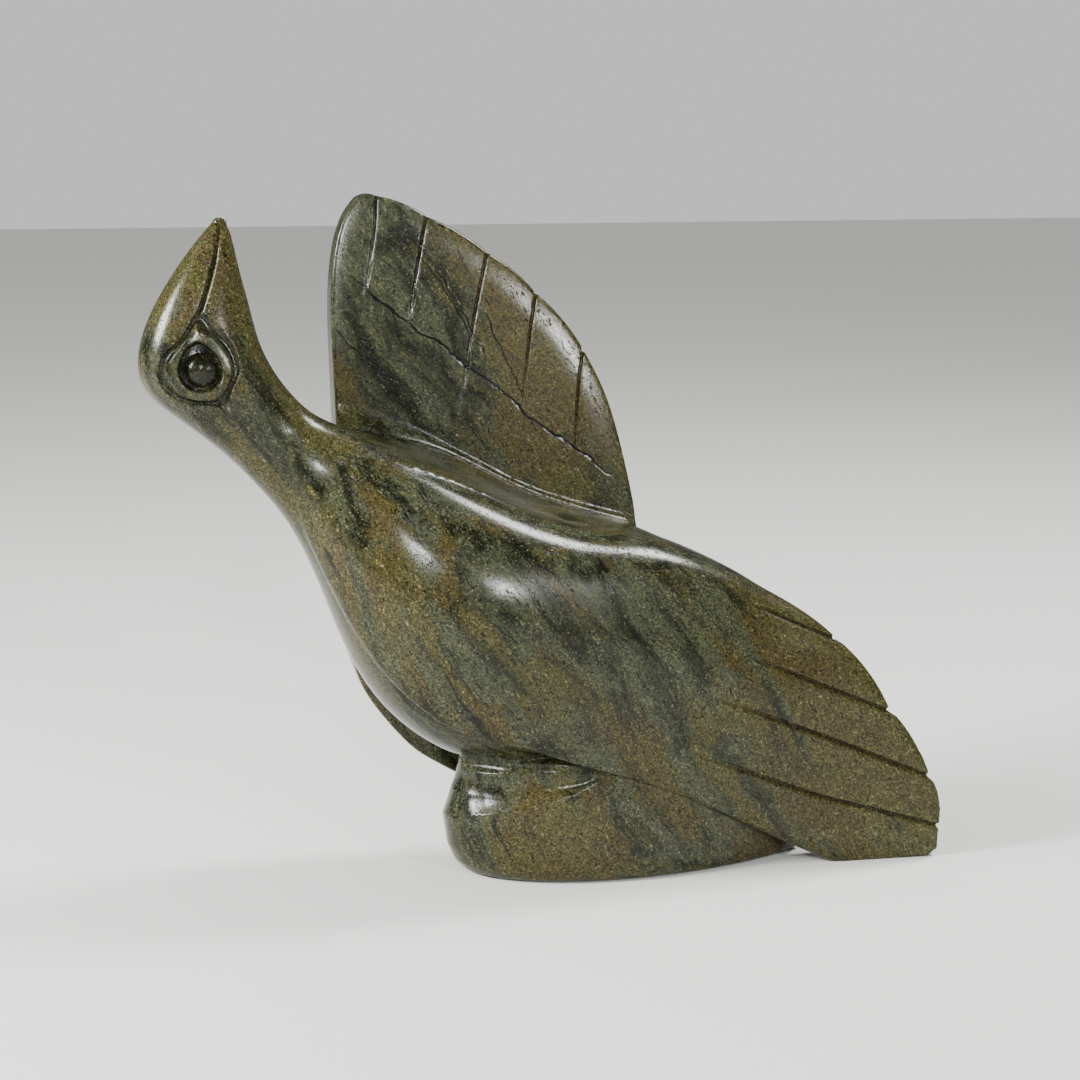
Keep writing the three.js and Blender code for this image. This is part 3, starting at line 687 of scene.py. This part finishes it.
def surface_net(grid):
    """Quads of one vertex per crossed cell, facing outwards."""
    inside = grid < 0
    corners = [(a, b, c) for a in (0, 1) for b in (0, 1) for c in (0, 1)]
    size = np.array(grid.shape) - 1

    def corner_view(array, c):
        return array[c[0]:c[0] + size[0], c[1]:c[1] + size[1], c[2]:c[2] + size[2]]

    count = sum(corner_view(inside, c).astype(int) for c in corners)
    crossed = (count > 0) & (count < 8)
    cells = np.argwhere(crossed)
    number = np.full(size, -1)
    number[crossed] = np.arange(len(cells))
    total = np.zeros((len(cells), 3))
    hits = np.zeros(len(cells))
    for a in corners:
        for axis in range(3):
            if a[axis]:
                continue
            b = tuple(1 if i == axis else a[i] for i in range(3))
            va = grid[tuple((cells + a).T)]
            vb = grid[tuple((cells + b).T)]
            cross = (va < 0) != (vb < 0)
            share = np.where(cross, va / np.where(cross, va - vb, 1), 0)
            point = np.array(a, float) + share[:, None] * (np.array(b, float) - a)
            total += np.where(cross[:, None], point, 0)
            hits += cross
    verts = GRID_LOW + (cells + total / hits[:, None]) * GRID_PITCH
    quads = []
    for axis in range(3):
        u, v = (axis + 1) % 3, (axis + 2) % 3
        step = np.zeros(3, int)
        step[axis] = 1
        low = inside[tuple(slice(0, s if i == axis else None) for i, s in enumerate(size))]
        high = inside[tuple(slice(1, None) if i == axis else slice(None) for i in range(3))]
        edges = np.argwhere(low != high)
        off_low = (edges[:, u] > 0) & (edges[:, v] > 0)
        edges = edges[off_low & (edges[:, u] < size[u]) & (edges[:, v] < size[v])]
        leaving = low[tuple(edges.T)]
        ring = []
        for du, dv in ((1, 1), (0, 1), (0, 0), (1, 0)):
            cell = edges.copy()
            cell[:, u] -= du
            cell[:, v] -= dv
            ring.append(number[tuple(cell.T)])
        ring = np.stack(ring, -1)
        quads.append(np.where(leaving[:, None], ring, ring[:, ::-1]))
    return verts, np.concatenate(quads)


def gradient(points):
    slope = np.zeros_like(points)
    for axis in range(3):
        step = np.zeros(3)
        step[axis] = GRADIENT_STEP
        slope[:, axis] = stone_field(points + step) - stone_field(points - step)
    return slope / (2 * GRADIENT_STEP)


def settle(points, rounds=2):
    """Points moved onto the surface, and the surface's normals there."""
    for _ in range(rounds):
        slope = gradient(points)
        steep = np.maximum((slope * slope).sum(1), 0.05)
        move = -(stone_field(points) / steep)[:, None] * slope
        length = np.linalg.norm(move, axis=1)[:, None]
        points = points + move * np.minimum(1, 1.5 / np.maximum(length, 1e-9))
    slope = gradient(points)
    return points, slope / np.maximum(np.linalg.norm(slope, axis=1), 1e-9)[:, None]


def edges_of(faces):
    pairs = np.concatenate([faces[:, [0, 1]], faces[:, [1, 2]], faces[:, [2, 0]]])
    return np.unique(np.sort(pairs, 1), axis=0)


def relax(points, faces, normals, rounds, pull=0.5):
    """Evens out the mesh by sliding its points within the surface."""
    pairs = edges_of(faces)
    degree = np.bincount(pairs.reshape(-1), minlength=len(points))[:, None]
    for _ in range(rounds):
        total = np.zeros_like(points)
        np.add.at(total, pairs[:, 0], points[pairs[:, 1]])
        np.add.at(total, pairs[:, 1], points[pairs[:, 0]])
        move = total / np.maximum(degree, 1) - points
        move -= (move * normals).sum(1)[:, None] * normals
        points = points + pull * move
    return points


def wanted_edge(points):
    """Edge length that the carving needs at each point."""
    x, y, z = points.T
    want = np.full(len(points), OPEN_EDGE)
    folded = np.abs(folded_plan.at(x, z))
    want = np.where((folded < 5) & (y < -5) & (z < 215), FOLDED_RIM_EDGE, want)
    raised = np.abs(raised_plan.at(x, z))
    want = np.where((raised < 5) & (y > 20), RAISED_RIM_EDGE, want)
    face = (x < HEAD_TO_X) & (z > HEAD_FROM_Z)
    carved_lines = [(line, y < -12, 3.2, GROOVE_EDGE) for line in folded_lines]
    carved_lines += [(line, y > 8, 3.2, GROOVE_EDGE) for line in raised_lines]
    carved_lines += [(mouth_line, face & (z > 270), 4.0, FACE_EDGE)]
    for line, there, reach, edge in carved_lines:
        low, high = line.min(0) - reach, line.max(0) + reach
        near = there & (x > low[0]) & (x < high[0]) & (z > low[1]) & (z < high[1])
        distance = np.full(len(points), 99.0)
        distance[near] = np.abs(distance_to_line(x[near], z[near], line)[0])
        want = np.where(distance < reach, edge, want)
    want = np.where(face & (brow_plan.at(x - EYE[0], z - EYE[1]) < 3), FACE_EDGE, want)
    crease = np.abs(z - np.interp(x, crease_line[:, 0], crease_line[:, 1]))
    want = np.where((crease < 9) & (x > -104) & (x < 54) & (y > -5) & (y < 48), CREASE_EDGE, want)
    hollow = (z > 26) & (z < 70) & (y < 5) & (y > -46) & (x > -62) & (x < 30)
    want = np.where(hollow, HOLLOW_EDGE, want)
    return np.where(z < 3, FOOT_EDGE, want)


def split_long_edges(points, faces):
    """Cuts the edges that are too long for the carving there, and keeps the mesh whole."""
    pairs = edges_of(faces)
    middles = (points[pairs[:, 0]] + points[pairs[:, 1]]) / 2
    length = np.linalg.norm(points[pairs[:, 0]] - points[pairs[:, 1]], axis=1)
    cut = length > LONGEST_SHARE * wanted_edge(middles)
    key = pairs[:, 0].astype(np.int64) * len(points) + pairs[:, 1]
    new_number = np.where(cut, len(points) + np.cumsum(cut) - 1, -1)

    def middle_of(a, b):
        wanted = np.minimum(a, b).astype(np.int64) * len(points) + np.maximum(a, b)
        return new_number[np.searchsorted(key, wanted)]

    mids = np.stack([middle_of(faces[:, i], faces[:, (i + 1) % 3]) for i in range(3)], -1)
    marks = mids >= 0
    made = [faces[~marks.any(1)]]
    for turn in range(3):
        f, m, k = np.roll(faces, -turn, 1), np.roll(mids, -turn, 1), np.roll(marks, -turn, 1)
        one = k[:, 0] & ~k[:, 1] & ~k[:, 2]
        made.append(np.stack([f[one, 0], m[one, 0], f[one, 2]], -1))
        made.append(np.stack([m[one, 0], f[one, 1], f[one, 2]], -1))
        two = k[:, 0] & k[:, 1] & ~k[:, 2]
        made.append(np.stack([m[two, 0], f[two, 1], m[two, 1]], -1))
        made.append(np.stack([f[two, 0], m[two, 0], m[two, 1]], -1))
        made.append(np.stack([f[two, 0], m[two, 1], f[two, 2]], -1))
    three = marks.all(1)
    f, m = faces[three], mids[three]
    made.append(np.stack([f[:, 0], m[:, 0], m[:, 2]], -1))
    made.append(np.stack([m[:, 0], f[:, 1], m[:, 1]], -1))
    made.append(np.stack([m[:, 2], m[:, 1], f[:, 2]], -1))
    made.append(m)
    return np.concatenate([points, middles[cut]]), np.concatenate(made)


def carve_bird():
    """Points, triangles and normals of the whole carving, in the carver's frame."""
    points, quads = surface_net(sample_band())
    faces = np.concatenate([quads[:, [0, 1, 2]], quads[:, [0, 2, 3]]])
    points, normals = settle(points, 2)
    points = relax(points, faces, normals, 3)
    for _ in range(3):
        points, faces = split_long_edges(points, faces)
        points, normals = settle(points, 1)
        points = relax(points, faces, normals, 2)
    points, normals = settle(points, 2)
    points[:, 2] = np.maximum(points[:, 2], 0.0)
    return points, faces, normals


def painted_recess_shade(points):
    """Share of painted shade at each point: full in the carved hollows, none on the open stone."""
    x, y, z = points.T
    ex, ez = x - EYE[0], z - EYE[1]
    face = (x < HEAD_TO_X) & (z > HEAD_FROM_Z)
    from_ball = np.hypot(ex - EYE_BALL_AT[0], ez - EYE_BALL_AT[1])
    within = smoothstep(-socket_plan.at(ex, ez), 0.5, 2.5)
    # Painted shade also fills the socket's ring round the eyeball.
    rim = np.minimum(within, smoothstep(from_ball, EYE_BALL - 3.5, EYE_BALL + 0.5))
    carved = head_carving(x, y, z) / CHANNEL_DEPTH
    grooves = groove_depth(x, y, z) / GROOVE_DEPTH
    carved = np.where(face, np.maximum(np.minimum(carved, 0.8), rim), grooves)
    return np.clip(carved, 0, 1) ** 1.5


def polished_bird():
    points, faces, normals = carve_bird()
    mesh = bpy.data.meshes.new("carved_bird")
    mesh.from_pydata(((points + CARVER_TO_FRAME) / 1000).tolist(), [], faces.tolist())
    mesh.polygons.foreach_set("use_smooth", np.ones(len(faces), bool))
    mesh.normals_split_custom_set_from_vertices(normals.tolist())
    # A layer of painted shade on the points: how dark the carved hollows are painted.
    shade_layer = mesh.attributes.new("recess_shade", "FLOAT", "POINT")
    shade_layer.data.foreach_set("value", painted_recess_shade(points).astype(np.float32))
    piece = bpy.data.objects.new("carved_bird", mesh)
    bpy.context.scene.collection.objects.link(piece)
    return piece


def linear(colour):
    """Linear values of an sRGB hex colour."""
    parts = [int(colour[i:i + 2], 16) / 255 for i in (1, 3, 5)]
    return [c / 12.92 if c <= 0.04045 else ((c + 0.055) / 1.055) ** 2.4 for c in parts] + [1.0]


def add(tree, kind, sockets=None, **settings):
    """One node with its settings, and its sockets set to a value or joined to another node's output."""
    node = tree.nodes.new(kind)
    for name, value in settings.items():
        setattr(node, name, value)
    for socket, value in (sockets or {}).items():
        if isinstance(value, bpy.types.NodeSocket):
            tree.links.new(value, node.inputs[socket])
        else:
            node.inputs[socket].default_value = value
    return node


# The stone's layers lie nearly along the flanks, so they show there as broad swirls and slanting
# bands, and on the back as fine streaks. Lengths are in millimetres along the streaks, across
# them within a layer, and through the layers.
LAYER_NORMAL = np.array((0.28, -0.94, 0.19)) / np.linalg.norm((0.28, -0.94, 0.19))
STREAK = np.array((0.56, 0.0, -0.828))
ACROSS = np.cross(LAYER_NORMAL, STREAK)
DARK_GREEN = "#14160c"
GREY_GREEN = "#353827"
OLIVE = "#39371d"
RUST = "#38321a"
PALE_GRAIN = "#6b694a"
CRACK_BLACK = "#040502"
# Colour of the painted shade in the carved hollows.
RECESS_SHADE = "#0c0c06"
BAND_SIZE = (100.0, 10.0, 5.0)
RUST_SIZE = (120.0, 14.0, 7.0)
TINT_SIZE = (60.0, 30.0, 16.0)
MOTTLE_SIZE = (7.0, 1.5, 1.3)
CRACK_SIZE = (21.0, 4.6, 2.6)

# The real crystals are about 0.3 mm wide, which is too fine to show, so the grain is drawn coarser.
GRAIN = 0.75
SPECK = 0.95
GRAIN_TONE = (0.05, 1.95)
GRAIN_RELIEF = 0.00004

# How far the layers wander, and over what length.
WANDER_SIZE = 75.0
WANDER = 26.0
RIPPLE_SIZE = 14.0
RIPPLE = 3.5

# Cracks run where their noise is within this reach of its middle, and stop in these gaps.
CRACK_REACH = (0.024, 0.006)
CRACK_GAPS = (0.50, 0.58)
CRACK_RELIEF = -3.0

# Serpentine's IOR. The thin wax film over its grain mirrors less than bare polish would.
IOR = 1.56
MIRROR = 0.2
ROUGHNESS = (0.20, 0.12)
PAPER = "#cfcfcc"

# Where the stone is rustier or greyer: middle x, y, z, reach, rust.
CLOUDS = [
    (-178, -12, 305, 40, 0.16),
    (-92, 46, 318, 42, -0.10),
    (-70, 44, 255, 62, -0.16),
    (-100, 46, 226, 30, 0.22),
    (-22, 50, 296, 44, 0.14),
    (18, 46, 232, 60, 0.17),
    (40, -45, 128, 52, -0.12),
    (-30, -50, 186, 46, -0.10),
    (-78, -48, 150, 40, 0.08),
    (140, -24, 84, 70, 0.20),
    (160, -20, 22, 50, 0.14),
    (-5, -38, 8, 44, 0.16),
    (-45, -26, 50, 26, -0.14),
]

# Dark veins of the raised wing: middle x, z, slope in degrees, half thickness, half length. They
# tremble a little, and show only from a certain y on, so that they stay off the near flank.
VEIN_SWAY = 8.0
VEIN_SWAY_SIZE = 14.0
VEIN_FROM_Y = (4.0, 6.0)
VEIN_MID_Y = 45.0
VEINS = [
    (-28, 240, -38, 0.55, 88),
    (-42, 277, -58, 0.34, 30),
    (-38.5, 275, -58, 0.28, 24),
    (-16, 250, -66, 0.24, 26),
    (-85, 252, -39, 0.30, 24),
    (12, 184, -62, 0.36, 14),
]

# Brightness of the room's air, and of its far walls as the polish shows them.
ROOM_GLOW = 0.72
WALL_GLOW = 0.12

# Azimuth and elevation in degrees as seen from the bird, distance and radius in metres, brightness.
LAMPS = {
    "ceiling": (108, 52, 1.6, 0.24, 54.0),
    "front_left": (-11, 22, 2.4, 0.07, 560.0),
    "front_right": (26, 17, 2.4, 0.07, 560.0),
    "window": (-78, 27, 1.6, 0.27, 90.0),
}

CAMERA_AZIMUTH = math.radians(-12)
CAMERA_ELEVATION = math.radians(10)
CAMERA_DISTANCE = 1250.0
CAMERA_TARGET = np.array((-6.2, 0.0, 164.0))
PIXELS_PER_MM = 2.05
FRAME_PIXELS = 1080.0
SENSOR = 36.0


def waxed_serpentine():
    """Serpentine ground smooth, waxed and buffed. It looks like polished dark stone: grey-green and
    rusty layers, a fine crystal grain that breaks up each highlight, thin black cracks and veins, and
    painted shade that darkens the carved hollows."""
    material = bpy.data.materials.new("waxed_serpentine")
    material.use_nodes = True
    tree = material.node_tree
    shader = tree.nodes["Principled BSDF"]
    place = add(tree, "ShaderNodeTexCoord").outputs["Object"]
    stone = add(tree, "ShaderNodeMapping", {
        "Vector": place, "Scale": (1000, 1000, 1000), "Location": tuple(-CARVER_TO_FRAME),
    }).outputs["Vector"]

    # The layers wander, widely and then in small ripples.
    bent = stone
    for size, sway in ((WANDER_SIZE, WANDER), (RIPPLE_SIZE, RIPPLE)):
        drift = add(tree, "ShaderNodeTexNoise", {"Vector": bent, "Scale": 1 / size, "Detail": 2.0})
        push = add(tree, "ShaderNodeVectorMath", {
            0: drift.outputs["Color"], 1: (sway, sway, sway), 2: (-sway / 2, -sway / 2, -sway / 2),
        }, operation="MULTIPLY_ADD")
        bent = add(tree, "ShaderNodeVectorMath", {
            0: bent, 1: push.outputs[0],
        }, operation="ADD").outputs[0]
    folia = add(tree, "ShaderNodeCombineXYZ", {
        axis: add(tree, "ShaderNodeVectorMath", {
            0: bent, 1: tuple(way),
        }, operation="DOT_PRODUCT").outputs["Value"]
        for axis, way in enumerate((STREAK, ACROSS, LAYER_NORMAL))
    }).outputs[0]

    patterns = []
    for size, detail, roughness in (
        (BAND_SIZE, 4.0, 0.6), (RUST_SIZE, 5.0, 0.6), (TINT_SIZE, 3.0, 0.5), (MOTTLE_SIZE, 4.0, 0.65),
        (CRACK_SIZE, 3.0, 0.6),
    ):
        stretched = add(tree, "ShaderNodeVectorMath", {
            0: folia, 1: tuple(1 / length for length in size),
        }, operation="MULTIPLY")
        patterns.append(add(tree, "ShaderNodeTexNoise", {
            "Vector": stretched.outputs[0], "Scale": 1.0, "Detail": detail, "Roughness": roughness,
        }).outputs["Fac"])
    bands, rust, tint, mottle, cracks = patterns

    # Rustier and greyer clouds.
    for x, y, z, reach, amount in CLOUDS:
        away = add(tree, "ShaderNodeVectorMath", {0: bent, 1: (x, y, z)}, operation="DISTANCE")
        cloud = add(tree, "ShaderNodeMapRange", {
            "Value": away.outputs["Value"], "From Min": reach * 0.25, "From Max": reach * 1.25,
            "To Min": amount, "To Max": 0.0,
        }, interpolation_type="SMOOTHSTEP")
        rust = add(tree, "ShaderNodeMath", {0: rust, 1: cloud.outputs[0]}, operation="ADD").outputs[0]

    # Crystal grain: each small crystal has its own tone.
    crystal = add(tree, "ShaderNodeTexVoronoi", {"Vector": stone, "Scale": 1 / GRAIN})
    crystal_tone = add(tree, "ShaderNodeSeparateXYZ", {0: crystal.outputs["Color"]}).outputs[0]
    speck = add(tree, "ShaderNodeTexNoise", {
        "Vector": stone, "Scale": 1 / SPECK, "Detail": 3.0, "Roughness": 0.7,
    })
    grit = add(tree, "ShaderNodeMath", {
        0: crystal_tone, 1: 0.30, 2: speck.outputs["Fac"],
    }, operation="MULTIPLY_ADD")
    grain = add(tree, "ShaderNodeMath", {
        0: mottle, 1: 0.6, 2: grit.outputs[0],
    }, operation="MULTIPLY_ADD").outputs[0]

    # Thin cracks along the streaks, and the long veins.
    near_crack = add(tree, "ShaderNodeMath", {0: cracks, 1: 0.5}, operation="SUBTRACT").outputs[0]
    near_crack = add(tree, "ShaderNodeMath", {0: near_crack}, operation="ABSOLUTE").outputs[0]
    tremble = add(tree, "ShaderNodeTexNoise", {
        "Vector": stone, "Scale": 1 / VEIN_SWAY_SIZE, "Detail": 4.0,
    })
    spot = add(tree, "ShaderNodeSeparateXYZ", {0: stone})
    lines = [(near_crack, *CRACK_REACH, ((mottle, *CRACK_GAPS),))]
    for x, z, slope, thick, reach in VEINS:
        turn = math.radians(slope)
        over = add(tree, "ShaderNodeVectorMath", {
            0: stone, 1: (-math.sin(turn), 0, math.cos(turn)),
        }, operation="DOT_PRODUCT").outputs["Value"]
        level = -math.sin(turn) * x + math.cos(turn) * z
        shaken = add(tree, "ShaderNodeMath", {
            0: tremble.outputs["Fac"], 1: VEIN_SWAY, 2: over,
        }, operation="MULTIPLY_ADD")
        off = add(tree, "ShaderNodeMath", {
            0: shaken.outputs[0], 1: level + VEIN_SWAY / 2,
        }, operation="SUBTRACT")
        off = add(tree, "ShaderNodeMath", {0: off.outputs[0]}, operation="ABSOLUTE").outputs[0]
        away = add(tree, "ShaderNodeVectorMath", {
            0: stone, 1: (x, VEIN_MID_Y, z),
        }, operation="DISTANCE").outputs["Value"]
        ends = ((away, reach, reach * 0.8), (spot.outputs[1], *VEIN_FROM_Y))
        lines.append((off, thick * 1.8, thick * 0.7, ends))
    crack = 0.0
    for distance, edge, core, limits in lines:
        line = 1.0
        for value, none, full in ((distance, edge, core), *limits):
            part = add(tree, "ShaderNodeMapRange", {"Value": value, "From Min": none, "From Max": full})
            line = add(tree, "ShaderNodeMath", {0: part.outputs[0], 1: line}, operation="MULTIPLY").outputs[0]
        crack = add(tree, "ShaderNodeMath", {0: line, 1: crack}, operation="MAXIMUM").outputs[0]

    # Layers of colour, each over the last: how much of it shows, from where to where, and its colour.
    # Painted shade that darkens the carved hollows, read from the mesh's layer.
    hollow = add(tree, "ShaderNodeAttribute", attribute_name="recess_shade").outputs["Fac"]
    warmth = add(tree, "ShaderNodeMapRange", {"Value": tint, "From Min": 0.42, "From Max": 0.58}).outputs[0]
    warm = add(tree, "ShaderNodeMix", {
        0: warmth, 6: linear(OLIVE), 7: linear(RUST),
    }, data_type="RGBA").outputs[2]
    colour = linear(DARK_GREEN)
    for value, none, full, over in (
        (bands, 0.36, 0.60, linear(GREY_GREEN)), (rust, 0.44, 0.62, warm),
        (grain, 1.08, 1.50, linear(PALE_GRAIN)), (crack, 0.0, 1.0, linear(CRACK_BLACK)),
        # Last, the painted shade over the carved hollows.
        (hollow, 0.0, 1.15, linear(RECESS_SHADE)),
    ):
        shown = add(tree, "ShaderNodeMapRange", {
            "Value": value, "From Min": none, "From Max": full,
        }, interpolation_type="SMOOTHSTEP").outputs[0]
        colour = add(tree, "ShaderNodeMix", {0: shown, 6: colour, 7: over}, data_type="RGBA").outputs[2]
    tone = add(tree, "ShaderNodeMapRange", {
        "Value": grain, "From Min": 0.65, "From Max": 1.25, "To Min": GRAIN_TONE[0], "To Max": GRAIN_TONE[1],
    })
    colour = add(tree, "ShaderNodeVectorMath", {
        0: colour, "Scale": tone.outputs[0],
    }, operation="SCALE").outputs[0]

    bump = add(tree, "ShaderNodeMath", {0: crack, 1: CRACK_RELIEF, 2: grain}, operation="MULTIPLY_ADD")
    surface = add(tree, "ShaderNodeBump", {
        "Strength": 1.0, "Distance": GRAIN_RELIEF, "Height": bump.outputs[0],
    })
    gloss = add(tree, "ShaderNodeMapRange", {
        "Value": grain, "From Min": 0.7, "From Max": 1.25, "To Min": ROUGHNESS[0], "To Max": ROUGHNESS[1],
    })
    tree.links.new(colour, shader.inputs["Base Color"])
    tree.links.new(gloss.outputs[0], shader.inputs["Roughness"])
    tree.links.new(surface.outputs[0], shader.inputs["Normal"])
    shader.inputs["IOR"].default_value = IOR
    shader.inputs["Specular IOR Level"].default_value = MIRROR
    return material


def pale_paper():
    """Plain matt paper. It gives a soft floor without any gloss."""
    material = bpy.data.materials.new("pale_paper")
    material.use_nodes = True
    shader = material.node_tree.nodes["Principled BSDF"]
    shader.inputs["Base Color"].default_value = linear(PAPER)
    shader.inputs["Roughness"].default_value = 0.9
    shader.inputs["Specular IOR Level"].default_value = 0.0
    return material


def pale_floor():
    reach = 6.0
    mesh = bpy.data.meshes.new("floor")
    corners = [(-reach, -reach, 0), (reach, -reach, 0), (reach, reach, 0), (-reach, reach, 0)]
    mesh.from_pydata(corners, [], [(0, 1, 2, 3)])
    floor = bpy.data.objects.new("floor", mesh)
    bpy.context.scene.collection.objects.link(floor)
    floor.data.materials.append(pale_paper())


def soft_light(name, azimuth, elevation, reach, radius, glow):
    """Round lamp seen from the bird at an angle from straight in front and at a height angle."""
    data = bpy.data.lights.new(name, "AREA")
    data.shape = "DISK"
    data.size = radius * 2
    data.energy = glow * math.pi * math.pi * radius ** 2
    turn, rise = math.radians(azimuth), math.radians(elevation)
    way = Vector((math.sin(turn) * math.cos(rise), -math.cos(turn) * math.cos(rise), math.sin(rise)))
    light = bpy.data.objects.new(name, data)
    light.location = Vector((0, 0, 0.15)) + way * reach
    light.rotation_mode = "QUATERNION"
    light.rotation_quaternion = way.to_track_quat("Z", "Y")
    bpy.context.scene.collection.objects.link(light)


def studio():
    world = bpy.data.worlds.new("studio")
    bpy.context.scene.world = world
    world.use_nodes = True
    tree = world.node_tree
    sky = tree.nodes["Background"]
    sky.inputs["Color"].default_value = linear("#ffffff")
    # The walls are far and dark in the polish, while the air of the room is light.
    mirrored = add(tree, "ShaderNodeLightPath").outputs["Is Glossy Ray"]
    glow = add(tree, "ShaderNodeMapRange", {"Value": mirrored, "To Min": ROOM_GLOW, "To Max": WALL_GLOW})
    tree.links.new(glow.outputs[0], sky.inputs["Strength"])
    for name, lamp in LAMPS.items():
        soft_light(name, *lamp)


def camera():
    data = bpy.data.cameras.new("camera")
    data.sensor_width = SENSOR
    data.lens = PIXELS_PER_MM * CAMERA_DISTANCE / FRAME_PIXELS * SENSOR
    eye = bpy.data.objects.new("camera", data)
    back = Vector((
        math.sin(CAMERA_AZIMUTH) * math.cos(CAMERA_ELEVATION),
        -math.cos(CAMERA_AZIMUTH) * math.cos(CAMERA_ELEVATION),
        math.sin(CAMERA_ELEVATION),
    ))
    target = Vector((CAMERA_TARGET + CARVER_TO_FRAME) / 1000)
    eye.location = target + back * CAMERA_DISTANCE / 1000
    eye.rotation_mode = "QUATERNION"
    eye.rotation_quaternion = (-back).to_track_quat("-Z", "Y")
    bpy.context.scene.collection.objects.link(eye)
    bpy.context.scene.camera = eye


camera()
studio()
pale_floor()
bird = polished_bird()
bird.data.materials.append(waxed_serpentine())
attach(bird, "root")
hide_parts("bird")
